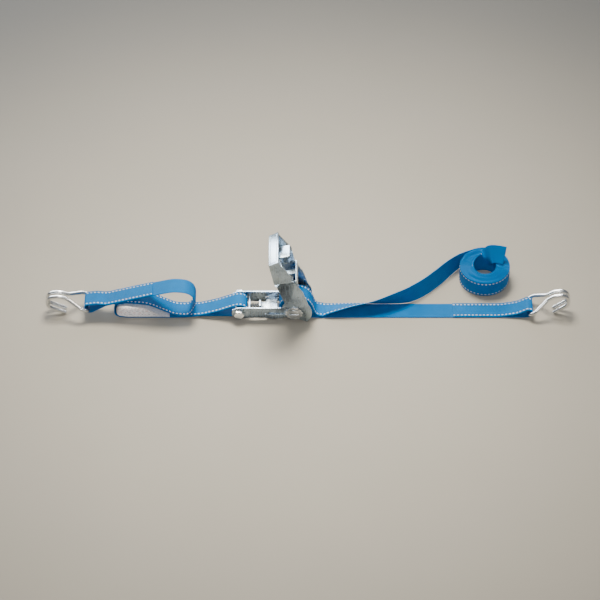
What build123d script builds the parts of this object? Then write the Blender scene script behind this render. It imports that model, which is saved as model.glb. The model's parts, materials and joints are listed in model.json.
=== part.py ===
from build123d import *
from math import cos, radians, sin, tan
import os

# Ratchet tie down for 25 mm webbing, lying on a surface at Z = 0 with its ratchet handle half open.
# X runs along the strap towards the long end's hook, and Z is up.
# The origin is on the strap's underside, straight below the spool axis.
# All lengths are in millimetres, and angles are in degrees.

# --- Webbing ---
WEB_WIDTH = 25.0
WEB_HALF = WEB_WIDTH / 2
WEB_THICK = 1.2
SEWN_THICK = 2 * WEB_THICK

# --- Spool and ratchet wheels ---
SPOOL_Z = 18.2
SHAFT_RADIUS = 7.0
SLOT_HALF = 1.4
SHAFT_HALF_LENGTH = 23.0
RUNNING_GAP = 0.05
ROLL_RADIUS = 16.0
WHEEL_TIP_RADIUS = 12.5
WHEEL_ROOT_RADIUS = 9.6
WHEEL_TEETH = 12
TOOTH_TOP_SHARE = 0.3
WHEEL_INNER = 16.6
WHEEL_THICK = 2.2
CAP_TIP_RADIUS = 12.0
CAP_ROOT_RADIUS = 10.2
CAP_INNER = 21.1
CAP_THICK = 1.2

# --- Frame ---
PLATE_THICK = 1.8
PLATE_INNER = 14.5
PLATE_TOP_Z = 22.6
PLATE_LOW_Z = 4.0
PLATE_SPOOL_RADIUS = 17.4
BOLT_X = -74.0
BOLT_Z = 12.6
BOLT_RADIUS = 4.0
BOLT_END_RADIUS = 11.0
SLEEVE_RADIUS = 5.4
HEX_ACROSS_FLATS = 13.0
HEX_THICK = 5.0
BOLT_TIP = 1.2
SPRING_BAR_X = -60.0
SPRING_BAR_THICK = 2.0
SPRING_BAR_DEEP = 7.0

# --- Base pawl ---
PAWL_THICK = 2.4
PAWL_LOW_Z = 10.6
PAWL_BACK_X = -47.0
PAWL_TONGUE_HALF = 5.5
PAWL_PLATE_BACK_X = -38.0
PAWL_FRONT_X = -22.5
PAWL_EAR_BACK_X = -34.0
PAWL_NOSE_X = -11.8
PAWL_EAR_OUT = 18.7
EAR_FLANGE_LOW_Z = 5.0
EAR_FLANGE_THICK = 1.6
EAR_FLANGE_BACK_X = -32.0
EAR_FLANGE_FRONT_X = -14.5
TONGUE_TOP_Z = 16.5
PAWL_TRAVEL = 4.0

# --- Handle, drawn where it stands at rest, relative to the spool axis ---
HANDLE_LEAN = 15.0
ARM_INNER = 19.2
ARM_THICK = 1.7
GRIP_OUTER = 28.0
LOBE_RADIUS = 24.0
HUB_RADIUS = 11.0
STEP_LOW = 54.0
STEP_HIGH = 66.0

BRIDGE_LOW = 49.5
BRIDGE_HIGH = 58.0
BRIDGE_FACE = 19.0
BRIDGE_THICK = 1.6
BRIDGE_FOOT = 8.0
SEAT_FOOT = 4.8
SEAT_HALF = 4.5

# --- Handle pawl ---
SLIDE_THICK = 2.0
SLIDE_OFFSET = 2.0
SLIDE_NOSE = 12.5
SLIDE_WIDE_LOW = 30.0
SLIDE_WIDE_HIGH = 41.0
SLIDE_SHOULDER = 5.0
LUG_PLACE = 46.0
LUG_HEIGHT = 7.0
LUG_HALF = 4.0
SLIDE_STEM_HALF = 10.5
SLIDE_TOP = 97.0
TAB_LENGTH = 18.0

# --- Hooks, each one bent wire: reach from the bar, and rise above it ---
WIRE_RADIUS = 2.5
BAR_HALF = 16.2
BAR_BEND = 4.3
LEG_RISE = 38.0
SHOULDER_REACH = 8.0
SHOULDER_HALF = 15.6
SHOULDER_BEND = 6.0
NECK_REACH = 24.0
NECK_HALF = 4.4
NECK_BEND = 10.0
CREST_REACH = 32.5
CREST_BEND = 12.0
NOSE_REACH = 49.5
NOSE_RISE = 28.0
NOSE_BEND = 9.8
HEEL_REACH = 53.5
HEEL_RISE = 11.0
HEEL_BEND = 9.8
TIP_REACH = 33.5
TIP_RISE = -5.95
RIGHT_BAR_X = 317.0
RIGHT_BAR_Z = 8.0
LEFT_BAR_X = -277.0
LEFT_BAR_Z = 16.0
LEFT_DROOP = 14.0

# --- Coil of the free tail ---
COIL_X = 259.5
COIL_Y = 61.0
COIL_OUTER = 34.2
COIL_INNER = 14.9
FLOOR_GAP = 0.05

SPOOL_PLANE = Plane(origin=(0, 0, SPOOL_Z), x_dir=(1, 0, 0), z_dir=(0, -1, 0))
LEAN = radians(HANDLE_LEAN)
HANDLE_PLANE = Plane(
    origin=(0, 0, SPOOL_Z),
    x_dir=(cos(LEAN), 0, sin(LEAN)),
    z_dir=(-sin(LEAN), 0, cos(LEAN)),
)


def save(part, label):
    """Label a finished piece and write it."""
    part.part.label = label
    export_step(part.part, f"parts/{label}.step")
    print(label, round(part.part.volume, 1), len(part.part.solids()))


def ribbon(path, thickness, rounding):
    """A strap that follows path in the XZ plane, as a part of the webbing's width."""
    with BuildPart() as strap:
        with BuildSketch(Plane.XZ):
            with BuildLine():
                FilletPolyline(*path, radius=rounding)
            trace(line_width=thickness)
        extrude(amount=WEB_HALF, both=True)
    return strap


def hook_wire(bar_x, bar_z, toward, droop):
    """One hook: a wire with a straight bar, two legs that close up, and a double J.

    toward is +1 for a hook that points along +X, and droop turns it down about its bar."""
    slope = tan(radians(LEG_RISE))
    half = [
        (0, BAR_HALF, 0),
        (SHOULDER_REACH, SHOULDER_HALF, SHOULDER_REACH * slope),
        (NECK_REACH, NECK_HALF, NECK_REACH * slope),
        (CREST_REACH, NECK_HALF, CREST_REACH * slope),
        (NOSE_REACH, NECK_HALF, NOSE_RISE),
        (HEEL_REACH, NECK_HALF, HEEL_RISE),
        (TIP_REACH, NECK_HALF, TIP_RISE),
    ]
    turn = radians(droop)
    placed = []
    for x, y, z in half:
        out = x * cos(turn) + z * sin(turn)
        up = z * cos(turn) - x * sin(turn)
        placed.append((bar_x + toward * out, y, bar_z + up))
    route = [(x, -y, z) for x, y, z in reversed(placed)] + placed
    bends = [BAR_BEND, SHOULDER_BEND, NECK_BEND, CREST_BEND, NOSE_BEND, HEEL_BEND]
    with BuildPart() as wire:
        with BuildLine() as centre:
            FilletPolyline(*route, radius=[*reversed(bends), *bends])
        with BuildSketch(Plane(origin=centre.line @ 0, z_dir=centre.line % 0)):
            Circle(WIRE_RADIUS)
        sweep(path=centre.line)
    return wire


os.makedirs("parts", exist_ok=True)

# ---------------------------------------------------------------- frame side plates

with BuildPart() as frame_plate_front:
    with BuildSketch(Plane.XZ.offset(PLATE_INNER)):
        with BuildLine():
            Polyline(
                (BOLT_X - 9, BOLT_Z + 6.2),
                (BOLT_X, PLATE_TOP_Z),
                (12, PLATE_TOP_Z),
                (12, 10),
                (-12, PLATE_LOW_Z + 1.5),
                (-22, PLATE_LOW_Z),
                (BOLT_X, PLATE_LOW_Z),
                (BOLT_X - 9, BOLT_Z + 6.2),
            )
        make_face()
        with Locations((BOLT_X, BOLT_Z)):
            Circle(BOLT_END_RADIUS - 1.2)
        with Locations((0, SPOOL_Z)):
            Circle(PLATE_SPOOL_RADIUS)
        with Locations((0, SPOOL_Z)):
            Circle(SHAFT_RADIUS + RUNNING_GAP, mode=Mode.SUBTRACT)
        with Locations((BOLT_X, BOLT_Z)):
            Circle(BOLT_RADIUS, mode=Mode.SUBTRACT)
        slot_back = PAWL_EAR_BACK_X - PAWL_TRAVEL - 0.4
        slot_front = PAWL_FRONT_X + 3
        with Locations(((slot_back + slot_front) / 2, PAWL_LOW_Z + PAWL_THICK / 2)):
            Rectangle(slot_front - slot_back, PAWL_THICK + 0.5, mode=Mode.SUBTRACT)
        with Locations((SPRING_BAR_X, BOLT_Z)):
            Rectangle(SPRING_BAR_THICK, SPRING_BAR_DEEP, mode=Mode.SUBTRACT)
    extrude(amount=PLATE_THICK)
save(frame_plate_front, "frame_plate_front")

with BuildPart() as frame_plate_rear:
    add(mirror(frame_plate_front.part, about=Plane.XZ))
save(frame_plate_rear, "frame_plate_rear")

# ---------------------------------------------------------------- anchor bolt

PLATE_OUTER = PLATE_INNER + PLATE_THICK

with BuildPart() as anchor_bolt:
    with BuildSketch(Plane.XZ.offset(PLATE_OUTER)):
        with Locations((BOLT_X, BOLT_Z)):
            RegularPolygon(HEX_ACROSS_FLATS / 2, 6, major_radius=False)
    extrude(amount=HEX_THICK)
    chamfer(anchor_bolt.faces().sort_by(Axis.Y)[0].edges(), 0.8)
    with BuildSketch(Plane.XZ.offset(PLATE_OUTER)):
        with Locations((BOLT_X, BOLT_Z)):
            Circle(BOLT_RADIUS)
    extrude(amount=-(2 * PLATE_OUTER + HEX_THICK + BOLT_TIP))
save(anchor_bolt, "anchor_bolt")

with BuildPart() as anchor_nut:
    with BuildSketch(Plane.XZ.offset(-PLATE_OUTER)):
        with Locations((BOLT_X, BOLT_Z)):
            RegularPolygon(HEX_ACROSS_FLATS / 2, 6, major_radius=False)
            Circle(BOLT_RADIUS, mode=Mode.SUBTRACT)
    extrude(amount=-HEX_THICK)
save(anchor_nut, "anchor_nut")

with BuildPart() as anchor_sleeve:
    with BuildSketch(Plane.XZ.offset(PLATE_INNER)):
        with Locations((BOLT_X, BOLT_Z)):
            Circle(SLEEVE_RADIUS)
            Circle(BOLT_RADIUS, mode=Mode.SUBTRACT)
    extrude(amount=-2 * PLATE_INNER)
save(anchor_sleeve, "anchor_sleeve")

# ---------------------------------------------------------------- base pawl and its spring

with BuildPart() as spring_bar:
    with BuildSketch(Plane.XZ.offset(PLATE_OUTER)):
        with Locations((SPRING_BAR_X, BOLT_Z)):
            Rectangle(SPRING_BAR_THICK, SPRING_BAR_DEEP)
    extrude(amount=-2 * PLATE_OUTER)
save(spring_bar, "spring_bar")

with BuildPart() as base_pawl:
    with BuildSketch(Plane.XY.offset(PAWL_LOW_Z)):
        with BuildLine():
            Polyline(
                (PAWL_BACK_X, 0),
                (PAWL_BACK_X, PAWL_TONGUE_HALF),
                (PAWL_PLATE_BACK_X, PAWL_TONGUE_HALF),
                (PAWL_PLATE_BACK_X, PLATE_INNER - 0.4),
                (PAWL_EAR_BACK_X, PLATE_INNER - 0.4),
                (PAWL_EAR_BACK_X, PAWL_EAR_OUT),
                (PAWL_NOSE_X, PAWL_EAR_OUT),
                (PAWL_NOSE_X, WHEEL_INNER + 0.1),
                (PAWL_FRONT_X, WHEEL_INNER + 0.1),
                (PAWL_FRONT_X, 0),
                (PAWL_BACK_X, 0),
            )
        make_face()
        mirror(about=Plane.XZ)
    extrude(amount=PAWL_THICK)
    # Tongue turned up at the back, where the spring pushes.
    with BuildSketch(Plane.XY.offset(PAWL_LOW_Z)):
        with Locations((PAWL_BACK_X + PAWL_THICK / 2, 0)):
            Rectangle(PAWL_THICK, 2 * PAWL_TONGUE_HALF)
    extrude(amount=TONGUE_TOP_Z - PAWL_LOW_Z)
    # Flanges turned down at the ears, outside the side plates.
    with BuildSketch(Plane.XY.offset(EAR_FLANGE_LOW_Z)):
        flange_middle = (EAR_FLANGE_BACK_X + EAR_FLANGE_FRONT_X) / 2
        flange_out = PAWL_EAR_OUT - EAR_FLANGE_THICK / 2
        with Locations((flange_middle, flange_out), (flange_middle, -flange_out)):
            Rectangle(EAR_FLANGE_FRONT_X - EAR_FLANGE_BACK_X, EAR_FLANGE_THICK)
    extrude(amount=PAWL_LOW_Z + PAWL_THICK - EAR_FLANGE_LOW_Z)
save(base_pawl, "base_pawl")

SPRING_WIRE = 0.5
SPRING_COIL = 2.6
SPRING_TURNS = 3
SPRING_END_GAP = 0.15


def coil_spring(start, direction, length, coil_radius, wire_radius, turns):
    """A compression spring that runs for length from start along direction."""
    height = length - 2 * (wire_radius + SPRING_END_GAP)
    base = Vector(*start) + Vector(*direction) * (wire_radius + SPRING_END_GAP)
    with BuildPart() as spring:
        with BuildLine() as coil:
            Helix(pitch=height / turns, height=height, radius=coil_radius, center=base, direction=direction)
        with BuildSketch(Plane(origin=coil.line @ 0, z_dir=coil.line % 0)):
            Circle(wire_radius)
        sweep(path=coil.line, is_frenet=True)
    return spring


base_spring = coil_spring(
    (SPRING_BAR_X + SPRING_BAR_THICK / 2, 0, PAWL_LOW_Z + PAWL_THICK / 2),
    (1, 0, 0),
    PAWL_BACK_X - SPRING_BAR_X - SPRING_BAR_THICK / 2,
    SPRING_COIL,
    SPRING_WIRE,
    SPRING_TURNS,
)
save(base_spring, "base_spring")

# ---------------------------------------------------------------- spool

def half_shaft(sign):
    """The upper or lower half-round shaft; the flat side faces the webbing slot."""
    with BuildPart() as shaft:
        with BuildSketch(SPOOL_PLANE.offset(SHAFT_HALF_LENGTH)):
            Circle(SHAFT_RADIUS)
            with Locations((0, -sign * (SHAFT_RADIUS - SLOT_HALF))):
                Rectangle(2 * SHAFT_RADIUS, 2 * SHAFT_RADIUS, mode=Mode.SUBTRACT)
        extrude(amount=-2 * SHAFT_HALF_LENGTH)
    return shaft


spool_shaft_upper = half_shaft(1)
save(spool_shaft_upper, "spool_shaft_upper")
spool_shaft_lower = half_shaft(-1)
save(spool_shaft_lower, "spool_shaft_lower")


with BuildSketch() as shaft_outline:
    Circle(SHAFT_RADIUS)
    Rectangle(2 * SHAFT_RADIUS, 2 * SLOT_HALF, mode=Mode.SUBTRACT)


def toothed_disc(inner, thickness, tip, root):
    """A disc with ratchet teeth that is driven by the two half shafts."""
    points = []
    for k in range(WHEEL_TEETH):
        start = radians(360 * k / WHEEL_TEETH)
        top = radians(360 * (k + TOOTH_TOP_SHARE) / WHEEL_TEETH)
        points.append((root * cos(start), root * sin(start)))
        points.append((tip * cos(start), tip * sin(start)))
        points.append((tip * cos(top), tip * sin(top)))
    with BuildPart() as disc:
        with BuildSketch(SPOOL_PLANE.offset(inner)):
            with BuildLine():
                Polyline(*points, close=True)
            make_face()
            add(shaft_outline.sketch, mode=Mode.SUBTRACT)
        extrude(amount=thickness)
    return disc


wheel_front = toothed_disc(WHEEL_INNER, WHEEL_THICK, WHEEL_TIP_RADIUS, WHEEL_ROOT_RADIUS)
save(wheel_front, "wheel_front")

with BuildPart() as wheel_rear:
    add(mirror(wheel_front.part, about=Plane.XZ))
save(wheel_rear, "wheel_rear")

spool_cap_front = toothed_disc(CAP_INNER, CAP_THICK, CAP_TIP_RADIUS, CAP_ROOT_RADIUS)
save(spool_cap_front, "spool_cap_front")

with BuildPart() as spool_cap_rear:
    add(mirror(spool_cap_front.part, about=Plane.XZ))
save(spool_cap_rear, "spool_cap_rear")

with BuildPart() as spool_roll:
    with BuildSketch(SPOOL_PLANE.offset(WEB_HALF)):
        Circle(ROLL_RADIUS)
        add(shaft_outline.sketch, mode=Mode.SUBTRACT)
    extrude(amount=-WEB_WIDTH)
save(spool_roll, "spool_roll")

# ---------------------------------------------------------------- handle

with BuildPart() as handle_shell:
    # Lower arm with its hub and cam lobe.
    with BuildSketch(SPOOL_PLANE.offset(ARM_INNER)):
        with BuildLine():
            lobe_start = (LOBE_RADIUS * cos(radians(37)), LOBE_RADIUS * sin(radians(37)))
            lobe_end = (LOBE_RADIUS * cos(radians(-44)), LOBE_RADIUS * sin(radians(-44)))
            Polyline((-9.5, 10), (-21, 44), (-24, 54), (1.2, 58), (3, 54), (12, 39), lobe_start)
            RadiusArc(lobe_start, lobe_end, LOBE_RADIUS)
            Polyline(lobe_end, (2, -HUB_RADIUS + 1), (-9.5, 10))
        make_face()
        Circle(HUB_RADIUS)
        Circle(SHAFT_RADIUS + RUNNING_GAP, mode=Mode.SUBTRACT)
    extrude(amount=ARM_THICK)
    # Step where the arm spreads to the grip's width.
    with BuildSketch(HANDLE_PLANE.offset(STEP_LOW)):
        with Locations((3.6, -ARM_INNER - ARM_THICK / 2)):
            Rectangle(25.5, ARM_THICK)
    with BuildSketch(HANDLE_PLANE.offset(STEP_HIGH)):
        with Locations((3.4, -GRIP_OUTER + ARM_THICK / 2)):
            Rectangle(24.4, ARM_THICK)
    loft()
    # Upper arm.
    with BuildSketch(SPOOL_PLANE.offset(GRIP_OUTER - ARM_THICK)):
        with BuildLine():
            Polyline((-26.1, 62), (-33, 98), (-21, 105), (-19, 99.5), (-3.5, 77), (-2.2, 66.5), (-26.1, 62))
        make_face()
    extrude(amount=ARM_THICK)
    mirror(about=Plane.XZ)
    # End plate across the grip.
    with BuildSketch(SPOOL_PLANE):
        with BuildLine():
            Polyline((-33, 98), (-21, 105), (-20.3, 103.3), (-32.6, 96.1), (-33, 98))
        make_face()
    extrude(amount=GRIP_OUTER, both=True)
    # Back plate of the grip.
    with BuildSketch(SPOOL_PLANE):
        with BuildLine():
            Polyline((-33, 98), (-26.9, 66.1), (-25.2, 66.4), (-31.2, 98.5), (-33, 98))
        make_face()
    extrude(amount=GRIP_OUTER, both=True)
save(handle_shell, "handle_shell")

with BuildPart() as handle_bridge:
    # A bent strip across the arms: a cross plate with a leg at each end.
    with BuildSketch(HANDLE_PLANE.offset(BRIDGE_LOW)):
        with BuildLine():
            Polyline(
                (BRIDGE_FACE - BRIDGE_THICK, 0),
                (BRIDGE_FACE - BRIDGE_THICK, ARM_INNER - BRIDGE_THICK),
                (BRIDGE_FOOT, ARM_INNER - BRIDGE_THICK),
                (BRIDGE_FOOT, ARM_INNER),
                (BRIDGE_FACE, ARM_INNER),
                (BRIDGE_FACE, 0),
                (BRIDGE_FACE - BRIDGE_THICK, 0),
            )
        make_face()
        mirror(about=Plane.XZ)
    extrude(amount=BRIDGE_HIGH - BRIDGE_LOW)
    # Spring seat bent down from the cross plate towards the slide.
    with BuildSketch(HANDLE_PLANE.offset(BRIDGE_HIGH)):
        with Locations(((BRIDGE_FACE + SEAT_FOOT) / 2, 0)):
            Rectangle(BRIDGE_FACE - SEAT_FOOT, 2 * SEAT_HALF)
    extrude(amount=-BRIDGE_THICK)
save(handle_bridge, "handle_bridge")

# ---------------------------------------------------------------- handle pawl

with BuildPart() as handle_pawl:
    # Slide plate, drawn across the handle: first direction across, second up along the handle.
    slide_face = Plane(
        origin=HANDLE_PLANE.from_local_coords((SLIDE_OFFSET, 0, 0)),
        x_dir=(0, 1, 0),
        z_dir=HANDLE_PLANE.x_dir,
    )
    with BuildSketch(slide_face):
        with BuildLine():
            Polyline(
                (0, SLIDE_WIDE_LOW),
                (WHEEL_INNER + 0.1, SLIDE_WIDE_LOW),
                (WHEEL_INNER + 0.1, SLIDE_NOSE),
                (PAWL_EAR_OUT, SLIDE_NOSE),
                (PAWL_EAR_OUT, SLIDE_WIDE_HIGH),
                (SLIDE_STEM_HALF, SLIDE_WIDE_HIGH + SLIDE_SHOULDER),
                (SLIDE_STEM_HALF, SLIDE_TOP),
                (0, SLIDE_TOP),
                (0, SLIDE_WIDE_LOW),
            )
        make_face()
        mirror(about=Plane.YZ)
    extrude(amount=SLIDE_THICK)
    # Finger tab bent across the end of the slide.
    with BuildSketch(HANDLE_PLANE.offset(SLIDE_TOP - SLIDE_THICK)):
        with Locations((SLIDE_OFFSET + TAB_LENGTH / 2, 0)):
            Rectangle(TAB_LENGTH, 2 * SLIDE_STEM_HALF)
    extrude(amount=SLIDE_THICK)
    # Lug bent up from the slide for the spring.
    with BuildSketch(HANDLE_PLANE.offset(LUG_PLACE)):
        with Locations((SLIDE_OFFSET + SLIDE_THICK + LUG_HEIGHT / 2 - 0.5, 0)):
            Rectangle(LUG_HEIGHT + 1, 2 * LUG_HALF)
    extrude(amount=-SLIDE_THICK)
save(handle_pawl, "handle_pawl")

handle_spring = coil_spring(
    tuple(HANDLE_PLANE.from_local_coords((SLIDE_OFFSET + SLIDE_THICK + LUG_HEIGHT / 2, 0, LUG_PLACE))),
    tuple(HANDLE_PLANE.z_dir),
    BRIDGE_HIGH - BRIDGE_THICK - LUG_PLACE,
    SPRING_COIL,
    SPRING_WIRE,
    SPRING_TURNS + 2,
)
save(handle_spring, "handle_spring")

# ---------------------------------------------------------------- hooks

hook_right = hook_wire(RIGHT_BAR_X, RIGHT_BAR_Z, 1, 0)
save(hook_right, "hook_right")
hook_left = hook_wire(LEFT_BAR_X, LEFT_BAR_Z, -1, LEFT_DROOP)
save(hook_left, "hook_left")

# ---------------------------------------------------------------- short strap

# Eye round the left hook's bar, open like a drop, then the two plies sewn together.
with BuildPart() as short_strap_hook_eye:
    with BuildSketch(Plane.XZ):
        with BuildLine():
            FilletPolyline(
                (-252, 25.2),
                (-265, 26.6),
                (-281.6, 24),
                (-281.6, 11.4),
                (-273, 10.2),
                (-252, 22.8),
                radius=[6, 4, 4, 6],
            )
        trace(line_width=WEB_THICK)
        with BuildLine():
            FilletPolyline((-252.5, 24), (-223, 33), (-189, 43.5), radius=60)
        trace(line_width=SEWN_THICK)
    extrude(amount=WEB_HALF, both=True)
save(short_strap_hook_eye, "short_strap_hook_eye")

# Single ply: over the top loop, back under it, round the end and along the surface.
short_strap_span = ribbon(
    [
        (-188.5, 44.5),
        (-162, 50.5),
        (-136, 47.5),
        (-131.5, 24),
        (-141, 3.6),
        (-160, 4.5),
        (-196, 26),
        (-226, 29),
        (-241.5, 24),
        (-241.5, 3),
        (-226, 0.7),
        (-167, 0.7),
    ],
    WEB_THICK,
    [40, 18, 20, 9, 30, 40, 30, 9, 9, 30],
)
save(short_strap_span, "short_strap_span")

# Sewn plies that lift off the surface, and the loose eye round the anchor sleeve.
with BuildPart() as short_strap_anchor_eye:
    with BuildSketch(Plane.XZ):
        with BuildLine():
            FilletPolyline((-166.5, 1.3), (-148, 1.6), (-124, 4.6), radius=60)
        trace(line_width=SEWN_THICK)
        with BuildLine():
            FilletPolyline(
                (-124.5, 3.9),
                (-102, 3.9),
                (-63.4, 3.4),
                (-63.4, 23.2),
                (-78, 23.2),
                (-102, 12.4),
                (-124.5, 5.2),
                radius=[60, 8, 9, 9, 30],
            )
        trace(line_width=WEB_THICK)
    extrude(amount=WEB_HALF, both=True)
save(short_strap_anchor_eye, "short_strap_anchor_eye")

# Label: a folded tape inside the lower loop, sewn in at its open end.
with BuildPart() as strap_label:
    with BuildSketch(Plane.XZ):
        with BuildLine():
            FilletPolyline((-170, 1.7), (-225, 1.7), (-238.5, 4), (-238.5, 20), (-226, 22.5), (-200, 17),
                           (-182, 3.2), (-170, 2.2), radius=[12, 7, 7, 10, 20, 14])
        trace(line_width=0.5)
    extrude(amount=WEB_HALF - 0.5, both=True)
save(strap_label, "strap_label")

# ---------------------------------------------------------------- long strap

MAIN_START_X = -5.0
MAIN_END_X = 214.0
with BuildPart() as main_strap:
    with BuildSketch(Plane.XY):
        with Locations(((MAIN_START_X + MAIN_END_X) / 2, 0)):
            Rectangle(MAIN_END_X - MAIN_START_X, WEB_WIDTH)
    extrude(amount=WEB_THICK)
save(main_strap, "main_strap")

with BuildPart() as main_strap_hook_eye:
    with BuildSketch(Plane.XZ):
        with BuildLine():
            Polyline((214.3, 1.25), (300, 1.25))
        trace(line_width=SEWN_THICK)
        with BuildLine():
            FilletPolyline(
                (299.5, 0.65),
                (312, 0.7),
                (321.4, 3.2),
                (321.4, 13),
                (314, 14.4),
                (306, 5),
                (299.5, 1.8),
                radius=[10, 3.5, 4, 5, 8],
            )
        trace(line_width=WEB_THICK)
    extrude(amount=WEB_HALF, both=True)
save(main_strap_hook_eye, "main_strap_hook_eye")

# Loose outer turns of webbing over the spool, down to the long strap.
with BuildPart() as spool_wrap:
    with BuildSketch(Plane.XZ):
        with BuildLine():
            Spline(
                (-13.5, 2.7),
                (-20.5, 16),
                (-16, 32),
                (0, 40.2),
                (16, 36),
                (24.4, 24),
                (28, 11.5),
                (33, 2.7),
            )
            Line((33, 2.7), (-13.5, 2.7))
        make_face()
        with Locations((0, SPOOL_Z)):
            Circle(ROLL_RADIUS + 0.5, mode=Mode.SUBTRACT)
    extrude(amount=WEB_HALF, both=True)
save(spool_wrap, "spool_wrap")

# Free tail: it leaves lying flat, turns up on its edge, and runs to the coil.
# Each row is the far edge's place on the surface, its height, and the tilt of the webbing.
TAIL_ROUTE = [
    (33.3, 12.5, 1.95, 0),
    (40, 12.5, 1.95, 5),
    (49, 12.5, 1.95, 14),
    (62, 12.5, 1.95, 25),
    (76, 12.6, 1.95, 35),
    (90, 12.8, 1.8, 43),
    (103, 13.0, 1.5, 50),
    (116, 13.2, 1.2, 60),
    (130, 13.4, 0.75, 74),
    (150, 14.4, 0.75, 95),
    (165, 19.5, 0.75, 107),
    (182, 31.5, 0.75, 110),
    (199, 48.0, 0.75, 110),
    (213, 65.0, 0.75, 106),
    (226, 80.0, 0.75, 98),
    (238, 89.5, 0.75, 92),
]


def tail_plane(k):
    """The plane across the tail at one row of its route."""
    before = TAIL_ROUTE[max(k - 1, 0)]
    after = TAIL_ROUTE[min(k + 1, len(TAIL_ROUTE) - 1)]
    run = Vector(after[0] - before[0], after[1] - before[1], 0).normalized()
    x, y, z, tilt = TAIL_ROUTE[k]
    outward = Vector(run.Y, -run.X, 0)
    across = outward * cos(radians(tilt)) + Vector(0, 0, 1) * sin(radians(tilt))
    centre = Vector(x, y, z) + across * WEB_HALF
    return Plane(origin=centre, x_dir=across, z_dir=run)


with BuildPart() as tail_strap:
    for k in range(len(TAIL_ROUTE)):
        with BuildSketch(tail_plane(k)):
            Rectangle(WEB_WIDTH, WEB_THICK)
    loft(ruled=True)
save(tail_strap, "tail_strap")

with BuildPart() as tail_coil:
    with BuildSketch(Plane.XY.offset(FLOOR_GAP)):
        with Locations((COIL_X, COIL_Y)):
            Circle(COIL_OUTER)
            Circle(COIL_INNER, mode=Mode.SUBTRACT)
    extrude(amount=WEB_WIDTH)
save(tail_coil, "tail_coil")

# The inner end lifts out of the coil and lies back over it.
# Each row is the middle of the webbing's width, and its slope up towards the back.
END_ROWS = [
    ((COIL_X + 6.5, COIL_Y + 13.5, 36.0), 55),
    ((COIL_X + 27.5, COIL_Y + 8.5, 35.6), 45),
]
with BuildPart() as tail_end:
    for middle, slope in END_ROWS:
        back = (0, cos(radians(slope)), sin(radians(slope)))
        with BuildSketch(Plane(origin=middle, x_dir=back, z_dir=(1, 0, 0))):
            Rectangle(WEB_WIDTH, WEB_THICK)
    loft(ruled=True)
save(tail_end, "tail_end")
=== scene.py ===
import json
import random
from bisect import bisect_right
from math import atan2, ceil, cos, pi, radians, sin, tan

import bmesh
import bpy
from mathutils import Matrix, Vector

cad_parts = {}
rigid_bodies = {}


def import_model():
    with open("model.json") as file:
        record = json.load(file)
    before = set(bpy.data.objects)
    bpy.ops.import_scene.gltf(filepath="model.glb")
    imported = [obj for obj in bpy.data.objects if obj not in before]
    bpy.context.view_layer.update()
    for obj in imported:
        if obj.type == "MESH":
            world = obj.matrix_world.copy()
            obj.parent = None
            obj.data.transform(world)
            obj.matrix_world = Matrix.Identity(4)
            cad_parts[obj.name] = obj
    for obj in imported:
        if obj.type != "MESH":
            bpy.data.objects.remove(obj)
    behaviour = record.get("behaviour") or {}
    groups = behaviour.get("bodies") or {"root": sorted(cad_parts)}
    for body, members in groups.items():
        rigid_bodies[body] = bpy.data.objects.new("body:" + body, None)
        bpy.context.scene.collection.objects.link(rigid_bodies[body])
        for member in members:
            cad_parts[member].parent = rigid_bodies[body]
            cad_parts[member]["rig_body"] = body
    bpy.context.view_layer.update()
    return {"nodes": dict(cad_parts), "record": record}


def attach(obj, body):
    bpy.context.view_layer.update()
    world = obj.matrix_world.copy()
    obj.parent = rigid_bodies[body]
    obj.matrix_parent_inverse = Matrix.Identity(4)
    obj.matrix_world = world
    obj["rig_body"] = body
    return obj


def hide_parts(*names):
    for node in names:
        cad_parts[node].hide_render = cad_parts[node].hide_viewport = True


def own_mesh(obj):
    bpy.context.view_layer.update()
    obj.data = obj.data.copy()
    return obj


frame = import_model()
NODES = frame["nodes"]
MM = 0.001

# Sizes in millimetres, in the CAD frame.
WEB_HALF = 12.5
PLY = 1.2
SPOOL_Z = 18.2
COIL_X, COIL_Y = 259.5, 61.0
COIL_START, COIL_END = 34.3, 15.3

# ---------------------------------------------------------------- materials

WARP_THREADS_PER_METRE = 1250.0
FLOATS_PER_METRE = 480.0
SCRATCH_STRETCH = (900.0, 900.0, 40.0)
FLOOR_DARK = (0.435, 0.405, 0.345)
FLOOR_LIGHT = (0.45, 0.418, 0.357)


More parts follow.
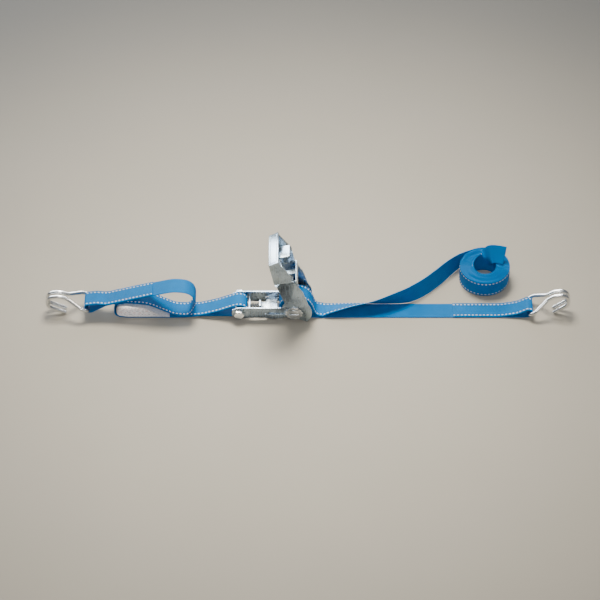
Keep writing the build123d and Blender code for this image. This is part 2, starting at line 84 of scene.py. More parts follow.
class Shading:
    """A new node material that ends in a Principled surface."""

    def __init__(self, name):
        self.material = bpy.data.materials.new(name)
        self.material.use_nodes = True
        self.tree = self.material.node_tree
        self.surface = self.tree.nodes["Principled BSDF"].inputs
        self.link = self.tree.links.new

    def add(self, kind, **values):
        node = self.tree.nodes.new(kind)
        for key, value in values.items():
            setattr(node, key, value)
        return node

    def place(self):
        """The place on the object, in metres."""
        return self.add("ShaderNodeTexCoord").outputs["Object"]

    def maths(self, operation, first, second=None):
        """One math node; either input is a socket or a number."""
        node = self.add("ShaderNodeMath", operation=operation)
        for socket, value in zip(node.inputs, (first, second)):
            if value is None:
                continue
            if isinstance(value, (int, float)):
                socket.default_value = value
            else:
                self.link(value, socket)
        return node.outputs[0]

    def blend(self, *terms):
        """The sum of some sockets, each times its share."""
        total = None
        for socket, share in terms:
            part = self.maths("MULTIPLY", socket, share)
            total = part if total is None else self.maths("ADD", total, part)
        return total

    def humps(self, count):
        """One round hump for each whole step of count."""
        return self.maths("ABSOLUTE", self.maths("SINE", self.maths("MULTIPLY", count, pi)))

    def noise(self, place, scale, detail=4.0, rough=0.55):
        node = self.add("ShaderNodeTexNoise")
        node.inputs["Scale"].default_value = scale
        node.inputs["Detail"].default_value = detail
        node.inputs["Roughness"].default_value = rough
        self.link(place, node.inputs["Vector"])
        return node.outputs["Fac"]

    def ramp(self, value, stops):
        """Colours blended along value; each stop is a place and a colour."""
        node = self.add("ShaderNodeValToRGB")
        marks = node.color_ramp.elements
        while len(marks) < len(stops):
            marks.new(0.5)
        for mark, (place, colour) in zip(marks, stops):
            mark.position = place
            mark.color = (*colour, 1)
        self.link(value, node.inputs["Fac"])
        return node.outputs["Color"]

    def relief(self, height, strength, distance):
        """Fine bumps on the surface; distance is in metres."""
        bump = self.add("ShaderNodeBump")
        bump.inputs["Strength"].default_value = strength
        bump.inputs["Distance"].default_value = distance
        self.link(height, bump.inputs["Height"])
        self.link(bump.outputs[0], self.surface["Normal"])


def webbing_material(name, dark, mid, light):
    """Woven polyester: fine warp threads in a zigzag twill, with soft clouds of tone."""
    made = Shading(name)
    strap_place = made.add("ShaderNodeUVMap", uv_map="strap_uv").outputs["UV"]
    split = made.add("ShaderNodeSeparateXYZ")
    made.link(strap_place, split.inputs[0])
    along, across = split.outputs["X"], split.outputs["Y"]
    # Warp threads run along the strap, and each one's floats start a little later than its neighbour's.
    thread = made.maths("MULTIPLY", across, WARP_THREADS_PER_METRE)
    lean = made.maths("MULTIPLY", made.maths("PINGPONG", made.maths("FLOOR", thread), 4.0), 0.25)
    floats = made.maths("ADD", made.maths("MULTIPLY", along, FLOATS_PER_METRE), lean)
    warp = made.maths("POWER", made.humps(thread), 0.6)
    weft = made.maths("POWER", made.humps(floats), 0.35)
    weave = made.maths("MULTIPLY", warp, weft)
    cloud = made.noise(made.place(), 38.0)
    fuzz = made.noise(strap_place, 900.0, 2.0)
    tone = made.blend((weave, 0.55), (cloud, 0.35), (fuzz, 0.22))
    made.link(made.ramp(tone, [(0.12, dark), (0.58, mid), (1.0, light)]), made.surface["Base Color"])
    made.surface["Roughness"].default_value = 0.7
    made.surface["Specular IOR Level"].default_value = 0.22
    made.surface["Specular Tint"].default_value = (0.1, 0.6, 1.0, 1)
    made.relief(weave, 0.55, 0.00018)
    return made.material


def thread_material(name, colour):
    """Twisted sewing or tracer thread, or the label's tape and ink."""
    made = Shading(name)
    grain = made.noise(made.place(), 420.0, 3.0)
    shade = tuple(0.72 * c for c in colour)
    made.link(made.ramp(grain, [(0.3, shade), (0.7, colour)]), made.surface["Base Color"])
    made.surface["Roughness"].default_value = 0.7
    made.relief(grain, 0.4, 0.0001)
    return made.material


def metal_material(name, dark, light, rough, tint=None, scratch=0.25, cloud_scale=60.0):
    """Plated or bare steel: cloudy plating, fine scratches and tiny pits."""
    made = Shading(name)
    place = made.place()
    cloud = made.noise(place, cloud_scale, 5.0, 0.6)
    stretched = made.add("ShaderNodeMapping")
    stretched.inputs["Scale"].default_value = SCRATCH_STRETCH
    made.link(place, stretched.inputs["Vector"])
    scratches = made.noise(stretched.outputs[0], 1.0, 3.0, 0.7)
    pits = made.add("ShaderNodeTexVoronoi")
    pits.inputs["Scale"].default_value = 700.0
    made.link(place, pits.inputs["Vector"])
    colour = made.ramp(cloud, [(0.3, dark), (0.62, light)])
    if tint is not None:
        patches = made.noise(place, 26.0, 3.0)
        mixed = made.add("ShaderNodeMix", data_type="RGBA")
        share = made.ramp(patches, [(0.45, (0, 0, 0)), (0.68, (0.75, 0.75, 0.75))])
        made.link(share, mixed.inputs["Factor"])
        made.link(colour, mixed.inputs["A"])
        mixed.inputs["B"].default_value = (*tint, 1)
        colour = mixed.outputs["Result"]
    made.link(colour, made.surface["Base Color"])
    made.surface["Metallic"].default_value = 1.0
    uneven = made.blend((made.maths("SUBTRACT", scratches, 0.5), scratch),
                        (made.maths("SUBTRACT", cloud, 0.5), scratch))
    made.link(made.maths("ADD", uneven, rough), made.surface["Roughness"])
    height = made.maths("ADD", scratches, made.maths("MULTIPLY", pits.outputs["Distance"], 0.8))
    made.relief(height, 0.16, 0.00012)
    return made.material


def floor_material():
    """Pale beige grey sheet of paper with a very faint grain."""
    made = Shading("floor_paper")
    grain = made.noise(made.place(), 6.0, 3.0)
    made.link(made.ramp(grain, [(0.3, FLOOR_DARK), (0.7, FLOOR_LIGHT)]), made.surface["Base Color"])
    made.surface["Roughness"].default_value = 0.75
    return made.material


BLUE = webbing_material("blue_webbing_weave", (0.0, 0.045, 0.19), (0.0, 0.138, 0.42), (0.0, 0.245, 0.69))
TRACER = thread_material("tracer_thread_white", (0.96, 0.98, 0.98))
SEAM = thread_material("seam_thread_blue", (0.03, 0.2, 0.48))
LABEL = thread_material("label_tape_white", (0.97, 0.95, 0.97))
LABEL_MARK = thread_material("label_print_grey", (0.36, 0.35, 0.42))
LABEL_ROSE = thread_material("label_print_rose", (0.68, 0.36, 0.36))
ZINC = metal_material("zinc_plate_bright", (0.2, 0.26, 0.34), (0.43, 0.52, 0.62), 0.27,
                      tint=(0.37, 0.44, 0.45))
STEEL = metal_material("zinc_steel_turned", (0.5, 0.56, 0.62), (0.95, 0.98, 1.0), 0.22, cloud_scale=120.0)
SPRING = metal_material("spring_steel_dark", (0.14, 0.145, 0.15), (0.32, 0.33, 0.34), 0.35)
WIRE = metal_material("hook_wire_bright", (0.62, 0.64, 0.65), (0.9, 0.91, 0.92), 0.24, scratch=0.16)

SLOT_MATERIAL = {
    "zinc_plate": ZINC,
    "zinc_steel": STEEL,
    "spring_steel": SPRING,
    "hook_wire": WIRE,
    "blue_webbing": BLUE,
    "white_label": LABEL,
}
NODE_SLOT = {row["node"]: row["material_slot"] for row in frame["record"]["subparts"]}

# ---------------------------------------------------------------- shaping helpers


def mesh_object(name, vertices, faces, material, uvs=None):
    """A smooth shaded object from vertices in millimetres; uvs are places on the strap."""
    mesh = bpy.data.meshes.new(name)
    mesh.from_pydata([tuple(c * MM for c in v) for v in vertices], [], faces)
    if uvs is not None:
        layer = mesh.uv_layers.new(name="strap_uv")
        for loop in mesh.loops:
            layer.data[loop.index].uv = [c * MM for c in uvs[loop.vertex_index]]
    mesh.polygons.foreach_set("use_smooth", [True] * len(mesh.polygons))
    mesh.materials.append(material)
    made = bpy.data.objects.new(name, mesh)
    bpy.context.scene.collection.objects.link(made)
    return made


STRAP_STEP = 1.5


def fillet(points, radii):
    """A line through points in the XZ plane with rounded corners, in steps of STRAP_STEP at most."""
    corners = [Vector(p) for p in points]
    line = [corners[0]]
    for k in range(1, len(corners) - 1):
        before, here, after = corners[k - 1], corners[k], corners[k + 1]
        a, b = (before - here).normalized(), (after - here).normalized()
        half = a.angle(b) / 2
        reach = radii[k - 1] / tan(half)
        start, end = here + a * reach, here + b * reach
        centre = here + (a + b).normalized() * (radii[k - 1] / sin(half))
        first, last = start - centre, end - centre
        turn = atan2(first.x * last.y - first.y * last.x, first.dot(last))
        count = max(2, ceil(abs(turn) / radians(9)))
        for i in range(count + 1):
            angle = turn * i / count
            line.append(centre + Vector((first.x * cos(angle) - first.y * sin(angle),
                                         first.x * sin(angle) + first.y * cos(angle))))
    line.append(corners[-1])
    return spaced(line, STRAP_STEP)


def spaced(line, step):
    """The same line with points no further apart than step and none doubled."""
    kept = [line[0]]
    for point in line[1:]:
        gap = (point - kept[-1]).length
        if gap < 0.05:
            continue
        count = ceil(gap / step)
        start = kept[-1].copy()
        for i in range(1, count + 1):
            kept.append(start.lerp(point, i / count))
    return kept


def catmull(p, k, t):
    """The point at share t between p[k + 1] and p[k + 2]."""
    a, b, c, d = p[k], p[k + 1], p[k + 2], p[k + 3]
    square = (2 * a - 5 * b + 4 * c - d) * t * t
    cube = (3 * b - a - 3 * c + d) * t ** 3
    return 0.5 * (2 * b + (c - a) * t + square + cube)


def with_ends(values):
    """The values with one more at each end, carried on in a straight line."""
    v = [Vector(q) for q in values]
    return [2 * v[0] - v[1], *v, 2 * v[-1] - v[-2]]


def smooth_pairs(keys, step):
    """A smooth curve through (point, value) keys, sampled about every step along the points."""
    points, values = with_ends([k[0] for k in keys]), with_ends([k[1] for k in keys])
    out = [(points[1], values[1])]
    for k in range(len(keys) - 1):
        count = max(2, ceil((points[k + 2] - points[k + 1]).length / step))
        for i in range(1, count + 1):
            out.append((catmull(points, k, i / count), catmull(values, k, i / count)))
    return out


def smooth_line(points, step):
    """A smooth curve through points, sampled about every step."""
    return [pair[0] for pair in smooth_pairs([(q, q) for q in points], step)]


def flat_rows(line, across=1):
    """Rows for a strap whose width is along Y and whose path is line in the XZ plane."""
    return [(Vector((q.x, 0, q.y)), Vector((0, across, 0))) for q in line]


def with_frames(rows):
    """Each row as centre, width direction, direction of the face with the tracers, and length so far."""
    out = []
    length = 0.0
    for k, (centre, across) in enumerate(rows):
        before = rows[max(k - 1, 0)][0]
        after = rows[min(k + 1, len(rows) - 1)][0]
        if k:
            length += (centre - before).length
        run = (after - before).normalized()
        across = (across - run * across.dot(run)).normalized()
        out.append((centre, across, run.cross(across), length))
    return out


def section(half, thick):
    """Outline of the webbing: flat faces with soft ribs and thicker round selvedges."""
    t = thick / 2
    right = [(half * 0.17, t * 0.9), (half * 0.5, t * 0.95), (half - 2.4, t * 0.86), (half - 1.3, t)]
    top = [(-a, h) for a, h in reversed(right)] + right
    edge = [(half - 0.4, t * 0.85), (half, t * 0.35), (half, -t * 0.35), (half - 0.4, -t * 0.85)]
    bottom = [(a, -h) for a, h in reversed(top)]
    left = [(-a, -h) for a, h in edge]
    return [*top, *edge, *bottom, *left]


def strap(name, rows, material, half=WEB_HALF, thick=PLY):
    """A closed strap along framed rows."""
    ring = section(half, thick)
    n = len(ring)
    vertices, uvs, faces = [], [], []
    for centre, across, face, length in rows:
        for a, h in ring:
            vertices.append(centre + across * a + face * h)
            uvs.append((length, a))
    for k in range(len(rows) - 1):
        for i in range(n):
            j = (i + 1) % n
            faces.append((k * n + i, (k + 1) * n + i, (k + 1) * n + j, k * n + j))
    last = (len(rows) - 1) * n
    faces.append(tuple(range(n)))
    faces.append(tuple(last + i for i in reversed(range(n))))
    return mesh_object(name, vertices, faces, material, uvs=uvs)


def threads(name, rows, runs, material, width, rise, sink=0.16):
    """Raised threads on a strap. Each run is a list of (length, place across, height over the middle)."""
    lengths = [r[3] for r in rows]
    vertices, faces = [], []
    for run in runs:
        first = len(vertices)
        for i, (place, a, lift) in enumerate(run):
            k = min(max(bisect_right(lengths, place) - 1, 0), len(rows) - 2)
            gap = lengths[k + 1] - lengths[k]
            t = min(max((place - lengths[k]) / gap, 0.0), 1.0)
            centre = rows[k][0].lerp(rows[k + 1][0], t)
            across = rows[k][1].lerp(rows[k + 1][1], t)
            out = rows[k][2].lerp(rows[k + 1][2], t)
            end = i in (0, len(run) - 1)
            w = width * (0.5 if end else 1.0)
            up = rise * (0.1 if end else 1.0)
            base = centre + across * a + out * lift
            vertices += [base - across * w - out * sink, base - across * w * 0.55 + out * up,
                         base + across * w * 0.55 + out * up, base + across * w - out * sink]
        for i in range(len(run) - 1):
            p, q = first + 4 * i, first + 4 * (i + 1)
            for j in range(4):
                m = (j + 1) % 4
                faces.append((p + j, q + j, q + m, p + m))
        last = first + 4 * (len(run) - 1)
        faces.append((first, first + 1, first + 2, first + 3))
        faces.append((last + 3, last + 2, last + 1, last))
    made = mesh_object(name, vertices, faces, material)
    tidy = bmesh.new()
    tidy.from_mesh(made.data)
    bmesh.ops.recalc_face_normals(tidy, faces=tidy.faces)
    tidy.to_mesh(made.data)
    tidy.free()
    return made


def stitch(start, length, offset, lift):
    """One stitch along the strap, as the run that threads() takes."""
    return [(start + length * t, offset, lift) for t in (0.0, 0.28, 0.72, 1.0)]


def stitch_line(start, end, offset, lift, pitch, length):
    """A straight row of stitches of the same length, pitch apart."""
    return [stitch(start + k * pitch, length, offset, lift) for k in range(int((end - start) // pitch))]


TRACER_INSET = 3.0
TRACER_PITCH = 5.0
TRACER_DASH = 2.7
STRAP_END = 0.6
TRACER_LIFT = 0.52
SEAM_LIFT = 0.55


def tracers(name, rows, spans):
    """Two dashed tracer lines near the strap's edges over each span of its length."""
    runs = []
    for start, end in spans:
        for offset in (WEB_HALF - TRACER_INSET, TRACER_INSET - WEB_HALF):
            runs += stitch_line(start, end, offset, TRACER_LIFT, TRACER_PITCH, TRACER_DASH)
    return threads(name, rows, runs, TRACER, width=1.05, rise=0.26)


SEAM_HALF = 8.6
SEAM_PITCH = 3.0
SEAM_STITCH = 2.5
SEAM_END_STITCHES = 6
ZIG_LENGTH = 5.0
ZIG_HALF = 7.6
ZIG_STITCHES = 5
ZIG_STITCH_SHARE = 0.82


def seam(name, rows, start, end, lift):
    """A sewn overlap: a box of straight stitches with zigzags inside it."""
    runs = []
    for offset in (-SEAM_HALF, SEAM_HALF):
        runs += stitch_line(start + 2, end - 2, offset, lift, SEAM_PITCH, SEAM_STITCH)
    for place in (start + 2.2, end - 2.4):
        for k in range(SEAM_END_STITCHES):
            offset = -8.2 + k * 2.9
            runs.append([(place + 0.05 * t, offset + 2.3 * t, lift) for t in (0.0, 0.3, 0.7, 1.0)])
    for k in range(int((end - start - 6) // ZIG_LENGTH)):
        place = start + 3 + k * ZIG_LENGTH
        side = -ZIG_HALF if k % 2 else ZIG_HALF
        for i in range(ZIG_STITCHES):
            shares = [(i + ZIG_STITCH_SHARE * t) / ZIG_STITCHES for t in (0.0, 0.3, 0.7, 1.0)]
            runs.append([(place + ZIG_LENGTH * share, side * (1 - 2 * share), lift) for share in shares])
    return threads(name, rows, runs, SEAM, width=0.26, rise=0.2)


def slotted(made, body):
    """The piece, set to move with body."""
    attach(made, body)
    return made


# ---------------------------------------------------------------- short strap

SHORT_POINTS = [
    (-189.2, 44.15), (-252.7, 24.75), (-265, 26.6), (-281.6, 24), (-281.6, 11.4), (-273, 10.2),
    (-252.4, 23.45), (-188.8, 42.95), (-162, 50.2), (-136, 47.5), (-131.5, 24), (-141, 3.6), (-160, 4.5),
    (-196, 26), (-226, 29), (-241.5, 24), (-241.5, 3), (-226, 0.7), (-166, 0.66), (-148, 0.95), (-124, 3.9),
    (-102, 3.9), (-63.4, 3.4), (-63.4, 23.2), (-78, 23.2), (-102, 12.4), (-124, 5.3), (-148, 2.25),
    (-166.3, 1.96),
]
SHORT_RADII = [
    18, 6, 4, 4, 6, 18, 60, 34, 18, 20, 9, 30, 40, 30, 9, 9, 30, 60, 60, 60, 60, 8, 9, 9, 30, 40, 60,
]
short_rows = with_frames(flat_rows(fillet(SHORT_POINTS, SHORT_RADII), -1))
short_length = short_rows[-1][3]
short_strap = slotted(strap("short_strap", short_rows, BLUE), "base")
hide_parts("short_strap_hook_eye", "short_strap_span", "short_strap_anchor_eye")
short_tracers = tracers("short_strap_tracers", short_rows, [(STRAP_END, short_length - STRAP_END)])
slotted(short_tracers, "base")
hook_seam = seam("short_strap_hook_seam", short_rows, 1.0, 64.0, SEAM_LIFT)
anchor_end = short_length - 1.0
anchor_seam = seam("short_strap_anchor_seam", short_rows, short_length - 42.0, anchor_end, SEAM_LIFT)
for made in (hook_seam, anchor_seam):
    slotted(made, "base")

LABEL_POINTS = [
    (-168, 1.31), (-180, 1.62), (-225, 1.7), (-238.7, 4), (-238.7, 20.5), (-226, 23), (-200, 17.5),
    (-180, 3.4), (-170, 1.34),
]
label_rows = with_frames(flat_rows(fillet(LABEL_POINTS, [20, 12, 7, 7, 10, 20, 14]), -1))
label = slotted(strap("strap_label_tape", label_rows, LABEL, half=12.0, thick=0.4), "base")
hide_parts("strap_label")

MARK_SEED = 7
MARK_LINES = 7
MARK_LINE_PITCH = 2.7
MARK_FIRST_LINE = -8.4
MARK_LIFT = 0.19
ROSE_SHARE = 0.4


def print_marks(start, end):
    """Lines of small printed marks on the label, as grey ones and rose ones."""
    dice = random.Random(MARK_SEED)
    grey, rose = [], []
    for line in range(MARK_LINES):
        offset = MARK_FIRST_LINE + MARK_LINE_PITCH * line
        place = start + dice.uniform(0, 3)
        while place < end - 7:
            dash = dice.uniform(1.4, 5.2)
            ink = rose if dice.random() < ROSE_SHARE else grey
            ink.append(stitch(place, dash, offset, MARK_LIFT))
            place += dash + dice.uniform(0.8, 3.4)
    return grey, rose


grey_marks, rose_marks = print_marks(12.0, 84.0)
for name, marks, ink in (
    ("label_marks_grey", grey_marks, LABEL_MARK),
    ("label_marks_rose", rose_marks, LABEL_ROSE),
):
    made = threads(name, label_rows, marks, ink, width=0.55, rise=0.05, sink=0.08)
    slotted(made, "base")

# ---------------------------------------------------------------- long strap

LONG_FRONT = [
    (214.3, 1.87), (279, 1.87), (301, 6.4), (314.6, 14.7), (321.4, 13), (321.4, 3.2), (312, 0.7),
    (299.5, 0.64), (9, 0.64),
]
LONG_FRONT_RADII = [50, 30, 4, 4, 3.5, 10, 40]
WRAP_POINTS = [
    (9, 0.64), (-3, 0.95), (-13.2, 4.6), (-19.8, 16), (-15.4, 31.4), (0, 39.4), (15.4, 35.3), (23.6, 23.6),
    (27.3, 11.4), (31.6, 4.9), (40, 3.04),
]
# Far edge of the free tail on the surface, its height, and how far the webbing has turned up.
TAIL_ROUTE = [
    (40, 12.5, 1.95, 5), (49, 12.5, 1.95, 14), (62, 12.5, 1.95, 25), (76, 12.6, 1.95, 35),
    (90, 12.8, 1.8, 43), (103, 13.0, 1.5, 50), (116, 13.2, 1.2, 60), (130, 13.4, 0.75, 74),
    (150, 14.4, 0.75, 95), (165, 19.5, 0.75, 107), (182, 31.5, 0.75, 110), (199, 48.0, 0.75, 110),
    (213, 64.5, 0.75, 106), (226, 79.0, 0.75, 98), (236, 87.0, 0.75, 92),
]


def tail_rows():
    """The free tail from where it lies flat to the coil."""
    samples = smooth_pairs([((x, y, z), (tilt, 0, 0)) for x, y, z, tilt in TAIL_ROUTE], 2.5)
    rows = []
    for k, (point, tilt) in enumerate(samples):
        before, after = samples[max(k - 1, 0)][0], samples[min(k + 1, len(samples) - 1)][0]
        run = Vector((after.x - before.x, after.y - before.y, 0)).normalized()
        turn = radians(tilt.x)
        upward = Vector((run.y, -run.x, 0)) * cos(turn) + Vector((0, 0, 1)) * sin(turn)
        rows.append((point + upward * WEB_HALF, -upward))
    return rows


COIL_TURNS = 14.1
COIL_FIRST = radians(127)
COIL_MIDDLE_Z = 13.1
COIL_RISE = 8.0
COIL_RISE_TURN = radians(170)


def coil_rows():
    """The coil, wound inwards, clockwise seen from above. Its last part rises out of the hole."""
    total = COIL_TURNS * 2 * pi
    count = int(total / radians(8))
    rows = []
    for k in range(1, count + 1):
        share = k / count
        angle = COIL_FIRST - total * share
        # The turns are a little uneven, in and out as well as up and down.
        r = COIL_START + (COIL_END - COIL_START) * share + 0.12 * sin(2 * angle + 1)
        settle = 0.3 * sin(70.9 * share) + 0.2 * sin(186.6 * share)
        left = total * (1 - share) / COIL_RISE_TURN
        height = COIL_MIDDLE_Z + settle + (COIL_RISE * (1 - left) ** 2 if left < 1 else 0.0)
        centre = Vector((COIL_X + r * cos(angle), COIL_Y + r * sin(angle), height))
        rows.append((centre, Vector((0, 0, -1))))
    return rows


def end_rows(last):
    """The inner end twists out of the coil's hole and leans back over the ring."""
    keys = [
        (last, (0, 0, -1)),
        ((COIL_X + 3.0, COIL_Y + 15.6, 23.5), (0, -0.34, -0.94)),
        ((COIL_X + 8.5, COIL_Y + 14.0, 33.0), (0, -0.57, -0.82)),
        ((COIL_X + 17.0, COIL_Y + 11.4, 35.6), (0, -0.64, -0.77)),
        ((COIL_X + 27.5, COIL_Y + 8.5, 35.6), (0, -0.707, -0.707)),
    ]
    return [(c, a.normalized()) for c, a in smooth_pairs(keys, 1.5)[1:]]


wrap_line = smooth_line(WRAP_POINTS, 1.4)
long_path = flat_rows(fillet(LONG_FRONT, LONG_FRONT_RADII)) + flat_rows(wrap_line[1:])
long_path += tail_rows()[1:]
before_coil = len(long_path)
long_path += coil_rows()
after_coil = len(long_path)
long_path += end_rows(long_path[-1][0])
long_rows = with_frames(long_path)
long_length = long_rows[-1][3]
long_strap = slotted(strap("long_strap", long_rows, BLUE), "base")
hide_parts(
    "main_strap", "main_strap_hook_eye", "spool_wrap", "tail_strap", "tail_coil", "tail_end"
)
coil_from, coil_to = long_rows[before_coil][3], long_rows[after_coil][3]
# The tracers inside the coil can't be seen, so they stop after its outer turn and start again near its end.
seen_spans = [(STRAP_END, coil_from + 215.0), (coil_to - 60.0, long_length - STRAP_END)]
long_tracers = slotted(tracers("long_strap_tracers", long_rows, seen_spans), "base")
long_seam = slotted(seam("long_strap_hook_seam", long_rows, 1.0, 72.0, SEAM_LIFT), "base")

# Inner layers between the roll and the loose outer turn.
LAYER_INSETS = (1.4, 2.75)
LAYER_LOWEST = 9.0
wrap_rows = with_frames(flat_rows(wrap_line))
for number, inset in enumerate(LAYER_INSETS, start=1):
    layer = [(c - f * inset, a) for c, a, f, _ in wrap_rows if c.z > LAYER_LOWEST]
    made = strap(f"spool_wrap_layer_{number}", with_frames(layer), BLUE)
    slotted(made, "base")

# The webbing wound on the spool, threaded through the slot between the two half shafts.
ROLL_TURNS = 5.6
ROLL_STEPS_PER_TURN = 36
ROLL_START = 7.95
ROLL_PITCH = 1.29
roll_line = smooth_line([(-6.2, 0), (0, 0), (5.6, 0.1), (8.1, 1.7)], 1.0)
for k in range(2, int(ROLL_TURNS * ROLL_STEPS_PER_TURN) + 1):
    turns = k / ROLL_STEPS_PER_TURN
    r = ROLL_START + ROLL_PITCH * turns
    roll_line.append(Vector((r * cos(2 * pi * turns), r * sin(2 * pi * turns))))
roll_line = [Vector((q.x, q.y + SPOOL_Z)) for q in roll_line]
roll_rows = with_frames(flat_rows(roll_line))
roll = slotted(strap("spool_roll_webbing", roll_rows, BLUE), "spool")
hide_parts("spool_roll")

# ---------------------------------------------------------------- metal

WELD_DISTANCE = 4e-6
FLAT_ANGLE = radians(0.4)
EDGE_ANGLE = radians(32)
EDGE_SEGMENTS = 2


def softened(node, width):
    """A copy of a stamped or turned CAD node with its edges rounded over."""
    body = NODES[node]["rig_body"]
    mesh = NODES[node].data.copy()
    shape = bmesh.new()
    shape.from_mesh(mesh)
    bmesh.ops.remove_doubles(shape, verts=shape.verts, dist=WELD_DISTANCE)
    bmesh.ops.dissolve_limit(shape, angle_limit=FLAT_ANGLE, verts=shape.verts, edges=shape.edges)
    shape.to_mesh(mesh)
    shape.free()
    made = bpy.data.objects.new(node + "_finish", mesh)
    bpy.context.scene.collection.objects.link(made)
    mesh.polygons.foreach_set("use_smooth", [True] * len(mesh.polygons))
    rounding = made.modifiers.new("rounding", "BEVEL")
    rounding.width = width * MM
    rounding.segments = EDGE_SEGMENTS
    rounding.limit_method = "ANGLE"
    rounding.angle_limit = EDGE_ANGLE
    rounding.harden_normals = True
    bpy.context.view_layer.update()
    done = bpy.data.meshes.new_from_object(made.evaluated_get(bpy.context.evaluated_depsgraph_get()))
    made.modifiers.clear()
    made.data = done
    done.materials.clear()
    done.materials.append(SLOT_MATERIAL[NODE_SLOT[node]])
    slotted(made, body)
    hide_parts(node)


for name, node in NODES.items():
    node.data.materials.clear()
    node.data.materials.append(SLOT_MATERIAL[NODE_SLOT[name]])

# How far each node's edges are rounded over, in millimetres.
SOFTENED = {
    "frame_plate_front": 0.3, "frame_plate_rear": 0.3, "spring_bar": 0.25, "base_pawl": 0.4,
    "handle_shell": 0.45, "handle_bridge": 0.4, "handle_pawl": 0.4, "anchor_bolt": 0.35, "anchor_nut": 0.35,
    "wheel_front": 0.2, "wheel_rear": 0.2, "spool_cap_front": 0.25, "spool_cap_rear": 0.25,
    "spool_shaft_upper": 0.3, "spool_shaft_lower": 0.3,
}
for name, width in SOFTENED.items():
    softened(name, width)


def sprung(node):
    """A smooth shaded copy of a CAD spring, set to move with the spring's body."""
    mesh = NODES[node].data.copy()
    mesh.polygons.foreach_set("use_smooth", [True] * len(mesh.polygons))
    made = bpy.data.objects.new(node + "_finish", mesh)
    bpy.context.scene.collection.objects.link(made)
    slotted(made, NODES[node]["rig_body"])
    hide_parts(node)
    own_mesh(made)


sprung("base_spring")
sprung("handle_spring")


def ridge(name, corners, bend, up, width, height, material):
    """A low round ridge along a closed line of corners with rounded bends; up is the way it stands out."""
    line = []
    n = len(corners)
    for k in range(n):
        before, here, after = corners[k - 1], corners[k], corners[(k + 1) % n]
        a, b = (before - here).normalized(), (after - here).normalized()
        for i in range(7):
            t = i / 6
            line.append(here + a * bend * (1 - t) ** 2 + b * bend * t * t)
    vertices, faces = [], []
    count = len(line)
    profile = [(-0.5, -0.4), (-0.5, 0.1), (-0.28, 0.75), (0.0, 1.0), (0.28, 0.75), (0.5, 0.1), (0.5, -0.4)]
    for k in range(count):
        run = (line[(k + 1) % count] - line[k - 1]).normalized()
        side = up.cross(run)
        vertices += [line[k] + side * (a * width) + up * (h * height) for a, h in profile]
    m = len(profile)
    for k in range(count):
        for i in range(m):
            j, q = (i + 1) % m, (k + 1) % count
            faces.append((k * m + i, k * m + j, q * m + j, q * m + i))
    return mesh_object(name, vertices, faces, material)


# Raised border pressed into the end plate of the grip.
END_LOW, END_HIGH = Vector((-33, 0, 98 + SPOOL_Z)), Vector((-21, 0, 105 + SPOOL_Z))
end_run = (END_HIGH - END_LOW).normalized()
end_out = Vector((-end_run.z, 0, end_run.x))
BORDER_LOW, BORDER_HIGH, BORDER_HALF = 2.2, 11.6, 25.4
corners = [(BORDER_LOW, -BORDER_HALF), (BORDER_HIGH, -BORDER_HALF), (BORDER_HIGH, BORDER_HALF),
           (BORDER_LOW, BORDER_HALF)]
plate = [END_LOW + end_run * along + Vector((0, y, 0)) for along, y in corners]
border = ridge("handle_end_border", plate, 2.0, end_out, 1.1, 0.42, ZINC)
slotted(border, "handle")

# ---------------------------------------------------------------- stage

FLOOR_HALF = 2600.0
FLOOR_CELLS = 26
FLOOR_Z = -0.2


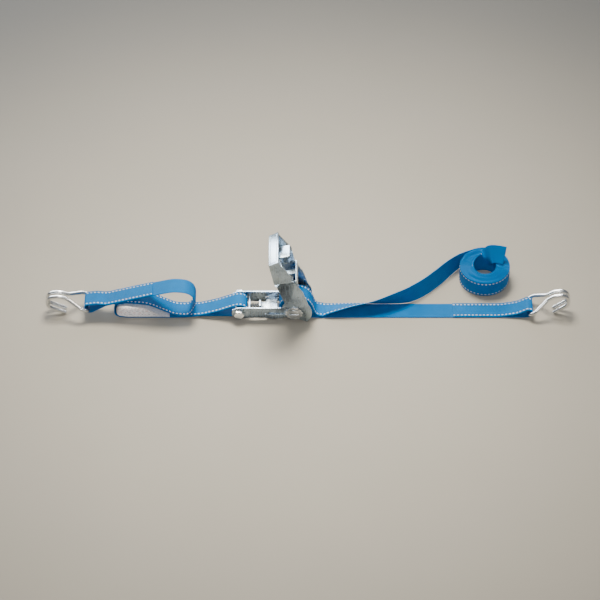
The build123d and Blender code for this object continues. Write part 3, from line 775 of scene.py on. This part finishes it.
def floor_sheet():
    """A flat square of paper just under the straps, as a grid of square cells."""
    row = FLOOR_CELLS + 1
    places = [FLOOR_HALF * (2 * i / FLOOR_CELLS - 1) for i in range(row)]
    vertices = [(x, y, FLOOR_Z) for y in places for x in places]
    corners = [j * row + i for j in range(FLOOR_CELLS) for i in range(FLOOR_CELLS)]
    faces = [(k, k + 1, k + row + 1, k + row) for k in corners]
    mesh_object("floor", vertices, faces, floor_material())


floor_sheet()


def area_light(name, place, size, power, colour, aim=(0, 0, 0), spread=180, shine_only=False):
    """A card of light; one that is shine_only shows in metal and lights no matt surface."""
    data = bpy.data.lights.new(name, "AREA")
    data.shape = "RECTANGLE"
    data.size, data.size_y = size
    data.energy = power
    data.color = colour
    data.spread = radians(spread)
    made = bpy.data.objects.new(name, data)
    made.visible_diffuse = not shine_only
    made.location = place
    made.rotation_euler = (Vector(aim) - Vector(place)).to_track_quat("-Z", "Y").to_euler()
    bpy.context.scene.collection.objects.link(made)


area_light("light_main", (-0.05, 0.5, 1.15), (0.6, 0.4), 6.9, (1.0, 0.93, 0.79),
           aim=(0.0, -0.18, 0), spread=82)
area_light("light_back_card", (-0.7, 2.2, 1.25), (3.4, 1.3), 215.0, (0.95, 0.98, 1.0),
           aim=(0, 0, 0.1), shine_only=True)
area_light("light_front", (0.1, -0.95, 1.2), (0.8, 0.4), 0.9, (1.0, 0.97, 0.92),
           aim=(0.0, 0.05, 0.03), spread=56)
world = bpy.data.worlds.new("studio")
world.use_nodes = True
world.node_tree.nodes["Background"].inputs["Color"].default_value = (0.84, 0.88, 0.93, 1)
world.node_tree.nodes["Background"].inputs["Strength"].default_value = 0.22
bpy.context.scene.world = world

AIM = Vector((0.008, 0.0205, 0.0))
ELEVATION = radians(46.7)
LENS = 150
# As far away as shows the object as large as an 85 mm lens does from 1.924 m.
DISTANCE = 1.924 * LENS / 85
camera_data = bpy.data.cameras.new("camera")
camera_data.lens = LENS
camera_data.sensor_width = 36
camera_data.clip_end = 20
camera = bpy.data.objects.new("camera", camera_data)
camera.location = AIM + Vector((0, -cos(ELEVATION), sin(ELEVATION))) * DISTANCE
camera.rotation_euler = (radians(90) - ELEVATION, 0, 0)
bpy.context.scene.collection.objects.link(camera)
bpy.context.scene.camera = camera

# ---------------------------------------------------------------- lengths

print("strap lengths", round(short_length), round(long_length), "coil", round(coil_to - coil_from))
